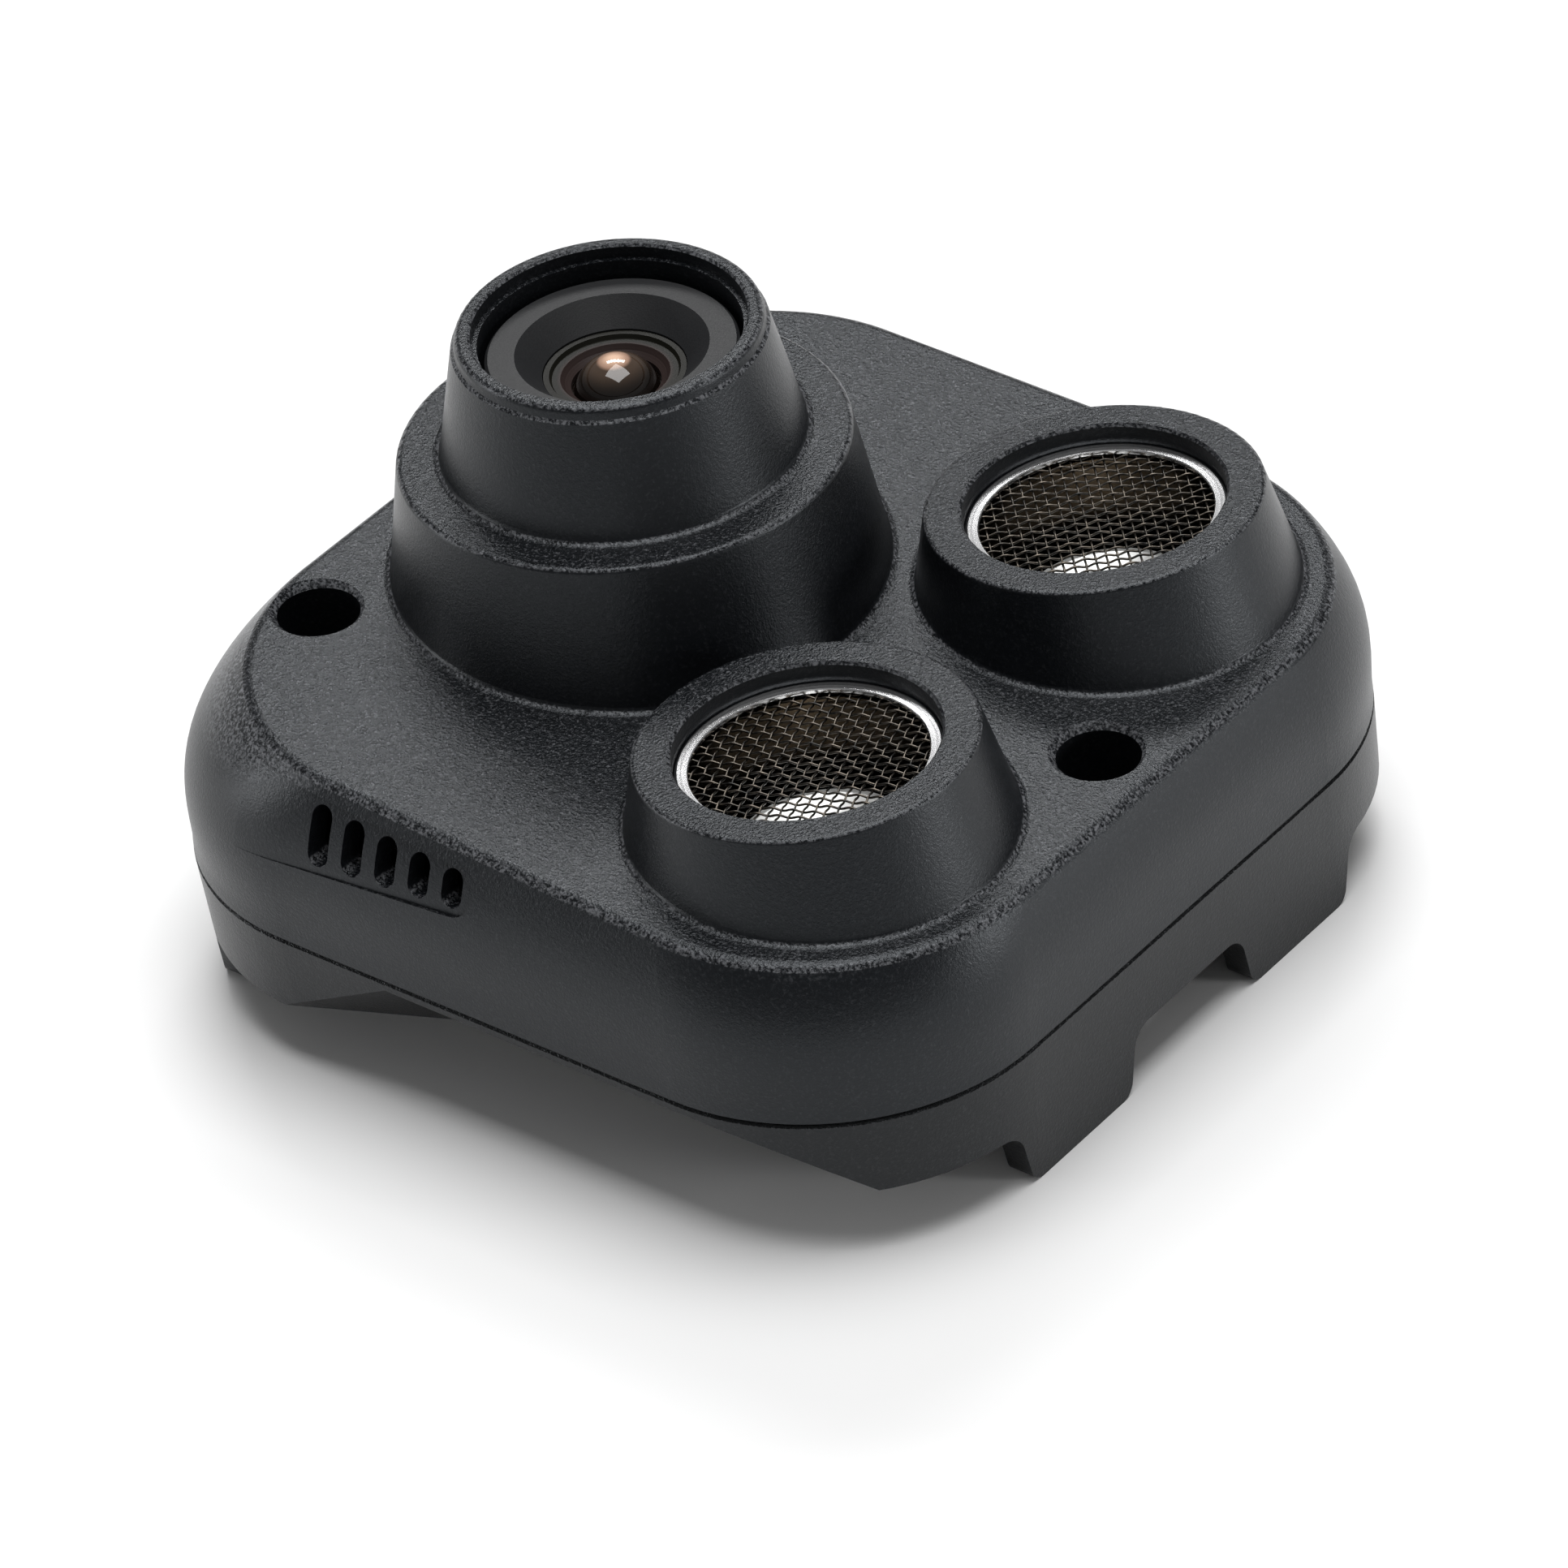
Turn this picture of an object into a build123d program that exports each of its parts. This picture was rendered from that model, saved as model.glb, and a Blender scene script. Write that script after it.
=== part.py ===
from build123d import *

# Camera and twin ultrasonic sensor head for a robot body, in millimetres.
# The module stands on its four lower tabs with +Z up, the way the camera and the transducers look.
# Origin: centre of the footprint, on the plane under the tabs. The housing mirrors about Y = 0.

import math
import os

# ---- outside of the housing
HALF_SIDE = 29.85
CORNER_R = 14.85
JOINT_Z = 9.35
WALL = 1.8
CROWN_START = 3.6
CROWN_R = 13.6
CROWN_CORNER = 0.2
CROWN_SHIFT = 0.22
CROWN_LEVELS = (0, 3.4, 5.8, 8.0, 10.2, 12.8)
PLATE_RISE = 11.0
PLATE_SLOPE = 2.4
PLATE_EDGE_R = 0.9
GROOVE = 0.17
LIP_H = 1.2
LIP_T = 0.8
LIP_GAP = 0.1

# ---- lower edge of the lower housing
SKIRT_Z = 4.25
FLOOR_T = 1.6
BACK_LEAN = 0.14
FRONT_TABS = (5.3, 16.7)
BACK_TABS = (13.5, 26.3)
TAB_FLARE = 0.9
TAB_TIP_R = 1.1
TAB_ROOT_R = 1.6
SCALLOP_TOP_Z = JOINT_Z - 0.58
SCALLOP_SLOPE = 44
SCALLOP_FLANK = (-14.9, 23.5, 53)
SCALLOP_ARC = (16.5, 14.2)

# ---- camera boss: a wide drum, a narrower turret and the rim round the lens
CAMERA_X = -9.55
CAMERA_LEAN = 0.9
DRUM_BASE_R = 15.75
DRUM_BASE_H = 8.0
DRUM_TOP_R = 13.75
LEDGE_H = 20.2
TURRET_BASE_R = 11.15
TURRET_TOP_R = 9.58
RIM_BAND = (0.95, 0.2)
RIM_H = 28.62
RIM_BORE_R = 8.32
RIM_STEP_R = 8.0
RIM_STEP_DEPTH = 0.9
SHOULDER_H = 20.6
SHOULDER_R = 6.9
CEILING_H = 18.6

# ---- sonar bosses and transducers
SONAR_X = 15.41
SONAR_Y = 14.15
SONAR_LEAN = 3.9
SONAR_TOP_H = 16.0
SONAR_TOP_R = 10.3
SONAR_BASE_R = 12.1
SONAR_BASE_H = 8.5
SONAR_TUBE_R = 10.6
SONAR_TUBE_H = 6.5
SONAR_LIP_T = 1.6
CAN_R = 7.95
CAN_H = 12.6
CAN_SINK = 1.25
CAN_LIP_R = 7.12
CAN_LIP_T = 0.3
SCREEN_SINK = 0.33
SCREEN_T = 0.3
CAN_WALL = 0.4
SLEEVE_R = 9.0
SLEEVE_H = 6.0
CONE_R = 5.3
CONE_H = 2.4
CONE_DEPTH = 5.9
PLATE_R = 4.6
PLATE_T = 0.35
PIEZO_R = 3.9
PIEZO_T = 0.5
PLATE_RING = (4.5, 4.0)
PLUG_H = 1.8
PIN_SPACING = 9.6
PIN_R = 0.4

# ---- screw wells that fasten the module to a robot
WELLS = ((-22.92, -14.6), (-22.92, 14.6), (24.5, 0.0))
WELL_R = 2.55
WELL_TUBE_R = 3.9
WELL_CHAMFER = 0.35
WELL_BOLT_R = 1.35
WELL_SEAT_T = 2.6

# ---- side vents, in a shallow pocket on each side wall
VENT_FIRST_X = -11.45
VENT_PITCH = 2.5
VENT_COUNT = 5
VENT_WIDTH = 1.5
VENT_MID_H = 8.4
VENT_LONG = 3.65
VENT_STEP = 0.33
VENT_REACH = 3.2
VENT_FACE_LEAN = 20.5
POCKET_SINK = 0.95
POCKET_END_R = 1.6
POCKET_BACK = (-16.6, 2.87)

# ---- boards and fasteners
BOARD_TOP_Z = JOINT_Z - 1.0
BOARD_T = 1.6
BOARD_X = (-18.4, 20.0)
BOARD_HALF_Y = 22.4
BOARD_SCREWS = ((-15.4, 19.4), (-15.4, -19.4), (2.6, 19.8), (2.6, -19.8))
HOUSING_SCREWS = ((22.6, 22.6), (22.6, -22.6), (-24.6, 0.0))
POST_R = 2.4
CAMERA_POST_R = 2.1
BOARD_POST_R = 2.2
SCREW_BOSS_R = 3.1
SMALL_HEAD = (1.8, 1.3)
SMALL_SHANK_R = 0.88
SMALL_PILOT_R = 0.95
SMALL_HOLE_R = 1.1
LARGE_HEAD = (1.95, 1.4)
LARGE_SHANK_R = 0.98
LARGE_PILOT_R = 1.05
LARGE_HOLE_R = 1.2
LARGE_SINK_R = 2.1
LARGE_REACH = 6.0
CROSS_SIZE = (2.2, 0.5, 0.7)
CAMERA_BOARD_H = 5.4
CAMERA_BOARD_T = 1.0
CAMERA_POST_Y = 10.2
CAMERA_BOARD = (19, 24.6, 1.5)
HOLDER_BASE = (16, 15, 3.6)
HOLDER_TUBE_R = 7.0
HOLDER_TUBE_H = 16.7
SENSOR_ROOM = (9.6, 9.6, 2.1)
SENSOR_SIZE = (7.0, 6.4, 1.0)
FILTER_ROOM = (6.4, 6.4, 3.0)
FILTER_SIZE = (7.4, 7.4, 0.4)
FILTER_H = 9.22
FLEX_T = 0.25
FLEX_W = 7.0

# ---- lens and its barrel, heights over the joint plane along the camera axis
HEAD_R = 7.66
HEAD_H = 26.75
HEAD_LOW_H = 21.2
THREAD_R = 6.0
BARREL_LOW_H = 10.5
HOOD_R = 5.86
HOOD_END_R = 4.36
HOOD_END_H = 25.2
LENS_R = 3.8
LENS_HOLLOW = 0.4
FLANGE_H = 23.9
DOME_R = 2.6
DOME_RISE = 2.1
RETAINER_STEPS = ((0.35, 0.0), (0.5, 0.25), (1.0, 0.25), (1.25, 0.55))
LENS_BORE_R = 3.0
SEAT_H = 14.0
REAR_LENS = (14.1, 16.8, 9.0, 14.0)
MIDDLE_LENS = (19.4, 21.2, 16.0, 12.0)
REAR_SPACER = (16.9, 19.35)
FRONT_SPACER_LOW = 21.3
LOCK_RING_R = 7.3
LOCK_RING = (16.75, 18.3)
SEAL_R = (7.9, 6.2)

# ---- interface socket, open through the floor
SOCKET_X = 0.0
SOCKET_L = 15.0
SOCKET_W = 6.0
SOCKET_WALL = 0.8
PIN_COUNT = 8
PIN_PITCH = 1.5
PIN_WIDTH = 0.5

# ---- clearances
GAP = 0.05
FOCUS_GAP = 0.08

# ---- closing edges of turned faces all lie towards the back left
SEAM_TURN = 131

LOW = (Align.CENTER, Align.CENTER, Align.MIN)


def boss_frame(x, y, lean):
    """Frame on a boss axis: it starts at the joint plane and leans towards -X."""
    return Location((x, y, JOINT_Z), (0, -lean, 0))


CAMERA = boss_frame(CAMERA_X, 0, CAMERA_LEAN)
SONARS = {
    "right": boss_frame(SONAR_X, SONAR_Y, SONAR_LEAN),
    "left": boss_frame(SONAR_X, -SONAR_Y, SONAR_LEAN),
}


def at(x, y):
    """Upright frame over a point of the footprint."""
    return Location((x, y, 0))


def rod(frame, radius, low, high):
    """Cylinder about a frame's axis between two heights."""
    return frame * Pos(0, 0, low) * Rotation(0, 0, SEAM_TURN) * Cylinder(radius, high - low, align=LOW)


def ring(frame, outer, inner, low, high):
    """Ring about a frame's axis."""
    return rod(frame, outer, low, high) - rod(frame, inner, low - 1, high + 1)


def turned(frame, points):
    """Solid of revolution about a frame's axis from (radius, height) points."""
    outline = Polyline(*[(r, 0, h) for r, h in points], close=True)
    return spun(frame, make_face(outline))


def spun(frame, face):
    """A profile turned about a frame's axis."""
    return frame * Rotation(0, 0, SEAM_TURN) * revolve(face, Axis.Z)


def slab(x, y, low, high, length, width, corner=0.0):
    """Upright box, with rounded vertical edges where a corner radius is given."""
    flat = RectangleRounded(length, width, corner) if corner else Rectangle(length, width)
    return extrude(Pos(x, y, low) * flat, high - low)


def half_space(point, normal):
    """Large block that fills the side of a plane away from its normal."""
    plane = Plane(origin=point, z_dir=normal)
    return plane.location * Pos(0, 0, -60) * Box(240, 240, 120)


def mirrored(solid):
    """The same solid on the other side of the housing."""
    return mirror(solid, Plane.XZ)


def one(shape):
    """A boolean result as the single solid that it is."""
    solids = shape.solids()
    return solids[0] if len(solids) == 1 else shape


# ------------------------------------------------------------------ upper housing

def crown_section(inset, height):
    """Outline of the convex side walls at a height over the joint."""
    climb = max(0, height - CROWN_START)
    lean = CROWN_R - math.sqrt(CROWN_R ** 2 - climb ** 2)
    side = 2 * (HALF_SIDE - inset - lean)
    corner = CORNER_R - inset + CROWN_CORNER * lean
    return Pos(CROWN_SHIFT * lean, 0, JOINT_Z + height) * RectangleRounded(side, side, corner)


def over_plate(rise):
    """Everything above the sloping plate."""
    return Location((0, 0, JOINT_Z + rise), (0, PLATE_SLOPE, 0)) * Pos(0, 0, 30) * Box(140, 140, 60)


def plate_height(x):
    """Height of the plate's face over a point."""
    return JOINT_Z + PLATE_RISE - x * math.tan(math.radians(PLATE_SLOPE))


def crowned_body(inset, rise):
    """Closed body over the joint plane: convex side walls under the gently sloping plate."""
    return loft([crown_section(inset, height) for height in CROWN_LEVELS]) - over_plate(rise)


def camera_boss():
    """Drum and turret outside, as one turned shape with softened edges and a band below the rim."""
    band_h, band_step = RIM_BAND
    band_low = RIM_H - band_h
    band_r = TURRET_TOP_R - band_step
    drum = frustum_points(DRUM_BASE_R, DRUM_BASE_H, DRUM_TOP_R, LEDGE_H)
    turret = frustum_points(TURRET_BASE_R, LEDGE_H, TURRET_TOP_R, band_low)
    band = frustum_points(band_r, band_low + band_step, band_r - 0.12, RIM_H)
    profile = Polyline(*drum, *turret, *band, (0, 0, RIM_H), (0, 0, DRUM_BASE_H), close=True)
    face = make_face(profile)
    for corner, radius in ((drum[1], 0.4), (turret[0], 0.5), (band[1], 0.45)):
        face = fillet_profile(face, face.vertices().sort_by_distance(corner)[0], radius)
    return spun(CAMERA, face)


def frustum_points(low_r, low, high_r, high):
    """The two profile points of a tapered drum."""
    return (low_r, 0, low), (high_r, 0, high)


def fillet_profile(face, corner, radius):
    """Rounds the corner of a flat profile nearest to a known place."""
    flat = face.face()
    target = flat.vertices().sort_by_distance(corner.center())[0]
    return flat.fillet_2d(radius, [target])


def sonar_boss(frame):
    """Low tapered boss round one transducer."""
    points = frustum_points(SONAR_BASE_R, SONAR_BASE_H, SONAR_TOP_R, SONAR_TOP_H)
    face = make_face(Polyline(*points, (0, 0, SONAR_TOP_H), (0, 0, SONAR_BASE_H), close=True))
    face = fillet_profile(face, face.vertices().sort_by_distance(points[1])[0], 0.28)
    return spun(frame, face)


def upper_shell():
    """Outer skin with its bosses, hollowed to an even wall."""
    outside = crowned_body(0, PLATE_RISE)
    outside = fillet(outside.faces().sort_by(Axis.Z)[-1].edges(), PLATE_EDGE_R)
    outside = chamfer(outside.faces().sort_by(Axis.Z)[0].edges(), GROOVE)
    outside += camera_boss()
    for frame in SONARS.values():
        outside += sonar_boss(frame)
    outside = soften_boss_feet(outside)
    inside = crowned_body(WALL, PLATE_RISE - WALL)
    inside += turned(CAMERA, [(0, -2), (13.6, -2), (13.6, 8.6), (12.2, CEILING_H), (0, CEILING_H)])
    return outside - inside


def soften_boss_feet(outside):
    """Small fillet where each boss meets the plate."""
    feet = []
    for edge in outside.edges().filter_by(GeomType.LINE, reverse=True):
        middle = edge @ 0.5
        on_plate = abs(middle.Z - plate_height(middle.X)) < 0.05
        inboard = max(abs(middle.X), abs(middle.Y)) < HALF_SIDE - 3.4
        if on_plate and inboard and edge.length > 20:
            feet.append(edge)
    return fillet(feet, 0.45)


def upper_posts():
    """Well tubes, screw posts and the guide tubes round the transducers, before they are bored."""
    posts = rod(at(*WELLS[0]), WELL_TUBE_R, JOINT_Z, plate_height(WELLS[0][0]) - 1)
    posts += rod(at(*WELLS[1]), WELL_TUBE_R, JOINT_Z, plate_height(WELLS[1][0]) - 1)
    posts += rod(at(*WELLS[2]), WELL_TUBE_R, JOINT_Z, plate_height(WELLS[2][0]) - 1)
    for place in HOUSING_SCREWS:
        posts += rod(at(*place), POST_R, JOINT_Z, plate_height(place[0]) - 1)
    for side in (1, -1):
        foot = CAMERA_BOARD_H + CAMERA_BOARD_T
        posts += rod(CAMERA * Pos(0, side * CAMERA_POST_Y, 0), CAMERA_POST_R, foot, CEILING_H + 0.6)
    for frame in SONARS.values():
        posts += rod(frame, SONAR_TUBE_R, SONAR_TUBE_H, SONAR_TOP_H - 2)
    return posts


def camera_bore():
    """Stepped hole down the turret: rim, thin step, lens pocket and the way through to the holder."""
    points = [(0, 0), (SHOULDER_R, 0), (SHOULDER_R, SHOULDER_H), (RIM_STEP_R, SHOULDER_H)]
    points += [(RIM_STEP_R, RIM_H - RIM_STEP_DEPTH), (RIM_BORE_R, RIM_H - RIM_STEP_DEPTH)]
    points += [(RIM_BORE_R, RIM_H - 0.15), (RIM_BORE_R + 0.25, RIM_H + 0.1), (0, RIM_H + 0.1)]
    return turned(CAMERA, points)


def sonar_bore(frame):
    """Opening for the can, wider below for its rubber sleeve."""
    lip = SONAR_TOP_H - SONAR_LIP_T
    points = [(0, -4), (SLEEVE_R + GAP, -4), (SLEEVE_R + GAP, lip), (CAN_R + GAP, lip)]
    points += [(CAN_R + GAP, SONAR_TOP_H - 0.2), (CAN_R + 0.3, SONAR_TOP_H + 0.1), (0, SONAR_TOP_H + 0.1)]
    return turned(frame, points)


def well_bore(x, y):
    """Through hole of a screw well, with a small chamfer at the plate."""
    top = plate_height(x)
    points = [(0, JOINT_Z - 1), (WELL_R, JOINT_Z - 1), (WELL_R, top - WELL_CHAMFER)]
    points += [(WELL_R + 2 * WELL_CHAMFER, top + WELL_CHAMFER), (0, top + WELL_CHAMFER)]
    return turned(at(x, y), points)


def vent_cuts():
    """Five slots that shorten towards the front, in a shallow pocket with a rounded front end."""
    cuts = pocket_cut()
    for index in range(VENT_COUNT):
        x = VENT_FIRST_X + index * VENT_PITCH
        length = VENT_LONG - index * VENT_STEP
        frame = Location((x, -HALF_SIDE, JOINT_Z + VENT_MID_H), (90, 0, 0))
        slot = RectangleRounded(VENT_WIDTH, length, VENT_WIDTH / 2 - 0.01)
        cuts += frame * extrude(slot, VENT_REACH, both=True)
    return cuts


def pocket_cut():
    """Shallow pocket behind the vents: its floor follows the wall, sinks towards its round front end
    and comes out to the wall's face at the back."""
    last_x = VENT_FIRST_X + (VENT_COUNT - 1) * VENT_PITCH
    wall_y = -HALF_SIDE + vent_wall_lean()
    frame = Location((last_x, wall_y, JOINT_Z + VENT_MID_H), (90 - VENT_FACE_LEAN, 0, 0))
    back_x, back_half = POCKET_BACK
    points = [(back_x, -back_half), (0, -POCKET_END_R), (0, POCKET_END_R), (back_x, back_half)]
    outline = make_face(Polyline(*points, close=True)) + Circle(POCKET_END_R)
    hinge = Axis((last_x + back_x, wall_y, 0), (0, 0, 1))
    floor = crowned_body(0, PLATE_RISE).rotate(hinge, POCKET_SINK)
    return frame * Pos(0, 0, -1.2) * extrude(outline, 4) - floor


def vent_wall_lean():
    """How far the side wall has leaned in at the middle of the vents."""
    return CROWN_R - math.sqrt(CROWN_R ** 2 - (VENT_MID_H - CROWN_START) ** 2)


def lip_rebate():
    """Step inside the wall that takes the lower housing's lip."""
    outer = crown_section(WALL - LIP_T - LIP_GAP, 0)
    return extrude(outer, LIP_H + LIP_GAP)


def upper_housing():
    body = upper_shell() + (upper_posts() & crowned_body(WALL - 0.3, PLATE_RISE - 0.5).fuse(boss_cores()))
    body -= camera_bore()
    for frame in SONARS.values():
        body -= sonar_bore(frame)
    for x, y in WELLS:
        body -= well_bore(x, y)
    for place in HOUSING_SCREWS:
        body -= rod(at(*place), LARGE_PILOT_R, JOINT_Z - 1, JOINT_Z + LARGE_REACH + 0.5)
    for side in (1, -1):
        body -= rod(CAMERA * Pos(0, side * CAMERA_POST_Y, 0), SMALL_PILOT_R, 0, 12)
    vents = vent_cuts()
    body = body - vents - mirrored(vents)
    return one(body - rebate_ring())


def boss_cores():
    """Room inside the bosses that posts and tubes may fill."""
    cores = rod(CAMERA, 13.2, 0, CEILING_H + 0.5)
    for frame in SONARS.values():
        cores += rod(frame, SONAR_TUBE_R, 0, SONAR_TOP_H - 2)
    return cores


def rebate_ring():
    """Only the rim of the rebate, so that posts and tubes keep their feet on the joint plane."""
    hole = extrude(crown_section(WALL, 0), LIP_H + LIP_GAP + 1)
    return lip_rebate() - hole


# ------------------------------------------------------------------ lower housing

def lower_section(inset, depth):
    """Outline below the joint: the back wall leans in, the other three are upright."""
    back = BACK_LEAN * depth
    length = 2 * (HALF_SIDE - inset) - back
    width = 2 * (HALF_SIDE - inset)
    corner = CORNER_R - inset - 0.15 * back
    return Pos(back / 2, 0, JOINT_Z - depth) * RectangleRounded(length, width, corner)


def lower_body(inset, low):
    """Closed body from a height up to the joint plane."""
    return loft([lower_section(inset, JOINT_Z - low), lower_section(inset, 0)])


def lower_outside():
    """Outer body with a small bevel at the joint, which is half of the groove there."""
    bevel = loft([lower_section(0, GROOVE), lower_section(GROOVE, 0)])
    return loft([lower_section(0, JOINT_Z), lower_section(0, GROOVE)]) + bevel


def tab_block(near, far, x):
    """Flared block that leaves a tab standing, with rounded tips and roots."""
    low, high = 0, SKIRT_Z
    root = TAB_ROOT_R + TAB_FLARE
    points = [(near - root, high + 2), (near - root, high), (near, high), (near + TAB_FLARE, low)]
    points += [(far - TAB_FLARE, low), (far, high), (far + root, high), (far + root, high + 2)]
    face = make_face(Polyline(*[(y, z) for y, z in points], close=True))
    for corner, radius in ((points[2], TAB_ROOT_R), (points[5], TAB_ROOT_R)):
        face = fillet_profile(face, face.vertices().sort_by_distance((*corner, 0))[0], radius)
    for corner in (points[3], points[4]):
        face = fillet_profile(face, face.vertices().sort_by_distance((*corner, 0))[0], TAB_TIP_R)
    side_plane = Plane(origin=(x, 0, 0), x_dir=(0, 1, 0), z_dir=(1, 0, 0))
    return side_plane.location * extrude(face, 12, both=True)


def below_skirt():
    """What is cut away under the wall, round the four tabs."""
    cut = Pos(0, 0, SKIRT_Z - 30) * Box(140, 140, 60)
    for tabs, x in ((FRONT_TABS, HALF_SIDE), (BACK_TABS, -HALF_SIDE)):
        block = tab_block(*tabs, x)
        cut = cut - block - mirrored(block)
    return cut


def scallop(thickness):
    """Hollow under a side wall for a finger: a slope, a slanted back flank and a round front flank."""
    rise = math.radians(SCALLOP_SLOPE)
    normal = Vector(0, math.sin(rise), math.cos(rise))
    start = Vector(0, -HALF_SIDE, SCALLOP_TOP_Z) + normal * thickness
    flank_x, turn, steep = SCALLOP_FLANK
    plan = Vector(-math.sin(math.radians(turn)), math.cos(math.radians(turn)), 0)
    flank = plan * math.sin(math.radians(steep)) + Vector(0, 0, math.cos(math.radians(steep)))
    foot = Vector(flank_x, -HALF_SIDE, SKIRT_Z + 0.3) + flank * thickness
    arc_x, arc_r = SCALLOP_ARC
    round_part = Location((arc_x, 0, SCALLOP_TOP_Z - arc_r), (90, 0, 0)) * Cylinder(arc_r + thickness, 90)
    straight_part = Pos(arc_x - 60, 0, SCALLOP_TOP_Z - 30 + thickness) * Box(120, 90, 60)
    front = round_part + straight_part
    return half_space(start, normal) & half_space(foot, flank) & front


def both_scallops(thickness):
    cut = scallop(thickness)
    return cut + mirrored(cut)


def lower_posts():
    """Well seats, board posts and screw bosses that stand on the floor."""
    posts = rod(at(*WELLS[0]), WELL_TUBE_R, SKIRT_Z, JOINT_Z)
    posts += rod(at(*WELLS[1]), WELL_TUBE_R, SKIRT_Z, JOINT_Z)
    posts += rod(at(*WELLS[2]), WELL_TUBE_R, SKIRT_Z, JOINT_Z)
    for place in BOARD_SCREWS:
        posts += rod(at(*place), BOARD_POST_R, SKIRT_Z, BOARD_TOP_Z - BOARD_T)
    for place in HOUSING_SCREWS:
        posts += rod(at(*place), SCREW_BOSS_R, SKIRT_Z, JOINT_Z)
    return posts


def lower_housing():
    outside = lower_outside() - below_skirt()
    feet_room = Pos(0, 0, -1) * extrude(lower_section(WALL, JOINT_Z), SKIRT_Z + 1)
    inside = lower_body(WALL, SKIRT_Z + FLOOR_T) - both_scallops(WALL)
    body = outside - feet_room - inside
    body += lower_posts() & lower_body(WALL - 0.5, SKIRT_Z)
    lip = extrude(crown_section(WALL - LIP_T, 0), LIP_H) - extrude(crown_section(WALL, 0), LIP_H + 1)
    body = body + lip - both_scallops(0)
    for x, y in WELLS:
        body -= rod(at(x, y), WELL_R, SKIRT_Z + WELL_SEAT_T, JOINT_Z + 3)
        body -= rod(at(x, y), WELL_BOLT_R, SKIRT_Z - 1, JOINT_Z)
    for place in BOARD_SCREWS:
        body -= rod(at(*place), SMALL_PILOT_R, SKIRT_Z + 0.6, JOINT_Z)
    for place in HOUSING_SCREWS:
        body -= rod(at(*place), LARGE_SINK_R, SKIRT_Z - 1, SKIRT_Z + FLOOR_T)
        body -= rod(at(*place), LARGE_HOLE_R, SKIRT_Z - 1, JOINT_Z + 3)
    body -= slab(SOCKET_X, 0, SKIRT_Z - 1, BOARD_TOP_Z - BOARD_T, SOCKET_L + 0.3, SOCKET_W + 0.3, 0.6)
    return one(body)


# ------------------------------------------------------------------ camera

def lens_barrel():
    """Lens barrel: wide head with a conical hood, threaded stem and the bore for the glass."""
    seat = FLANGE_H - 0.7
    points = [(THREAD_R, BARREL_LOW_H), (THREAD_R, HEAD_LOW_H), (HEAD_R, HEAD_LOW_H), (HEAD_R, HEAD_H - 0.2)]
    points += [(HEAD_R - 0.2, HEAD_H), (HOOD_R, HEAD_H), (HOOD_END_R, HOOD_END_H), (HOOD_END_R, seat)]
    points += [(LENS_R + GAP, seat), (LENS_R + GAP, SEAT_H)]
    points += [(LENS_BORE_R, SEAT_H), (LENS_BORE_R, BARREL_LOW_H)]
    return turned(CAMERA, points)


def lens_retainer():
    """Stepped ring that holds the front glass in the barrel."""
    low = FLANGE_H + GAP
    outer = HOOD_END_R - GAP
    top = HOOD_END_H - 0.1
    inner = DOME_R + 0.12
    points = [(inner, low), (outer, low), (outer, top)]
    points += [(outer - inset, top - drop) for inset, drop in RETAINER_STEPS]
    return turned(CAMERA, points + [(inner, low + 0.35)])


def ball(radius, top):
    """Sphere on the camera axis whose highest point is at a height."""
    return CAMERA * Pos(0, 0, top - radius) * Sphere(radius)


def inner_lens(low, high, top_curve, under_curve):
    """Lens blank with a domed top and a hollow underside, both given by their radii."""
    blank = rod(CAMERA, LENS_R, low, high) & ball(top_curve, high)
    return one(blank - ball(under_curve, low + LENS_HOLLOW))


def front_lens():
    """Strongly domed front glass on a thin flange."""
    reach = (DOME_R ** 2 + DOME_RISE ** 2) / (2 * DOME_RISE)
    top = FLANGE_H + DOME_RISE
    cap = ball(reach, top) & rod(CAMERA, DOME_R + 0.05, FLANGE_H - 0.1, top + 1)
    return one(rod(CAMERA, LENS_R, FLANGE_H - 0.65, FLANGE_H) + cap)


def lens_holder():
    """Square base over the sensor with the threaded tube for the barrel."""
    low = CAMERA_BOARD_H + CAMERA_BOARD_T
    thread_low = low + 2.8
    body = CAMERA * Pos(0, 0, low) * Box(*HOLDER_BASE, align=LOW)
    body += rod(CAMERA, HOLDER_TUBE_R, thread_low - 0.2, HOLDER_TUBE_H)
    body -= CAMERA * Pos(0, 0, low - 0.1) * Box(*SENSOR_ROOM, align=LOW)
    body -= CAMERA * Pos(0, 0, low + 1.6) * Box(*FILTER_ROOM, align=LOW)
    return one(body - rod(CAMERA, THREAD_R + FOCUS_GAP, thread_low, HOLDER_TUBE_H + 3))


def camera_board():
    frame = CAMERA * Pos(0, 0, CAMERA_BOARD_H)
    board = frame * extrude(RectangleRounded(*CAMERA_BOARD), CAMERA_BOARD_T)
    for side in (1, -1):
        board -= rod(CAMERA * Pos(0, side * CAMERA_POST_Y, 0), SMALL_HOLE_R, 0, 12)
    return one(board)


def camera_board_screws():
    """Two pan-head screws up through the board into the posts."""
    head_r, head_h = SMALL_HEAD
    screws = []
    for side in (1, -1):
        frame = CAMERA * Pos(0, side * CAMERA_POST_Y, 0)
        head = rod(frame, head_r, CAMERA_BOARD_H - head_h, CAMERA_BOARD_H)
        shank = rod(frame, SMALL_SHANK_R, CAMERA_BOARD_H - 0.2, CAMERA_BOARD_H + 5.6)
        screws.append(head + shank - cross_recess(frame, CAMERA_BOARD_H - head_h, 1))
    return group(screws)


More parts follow.
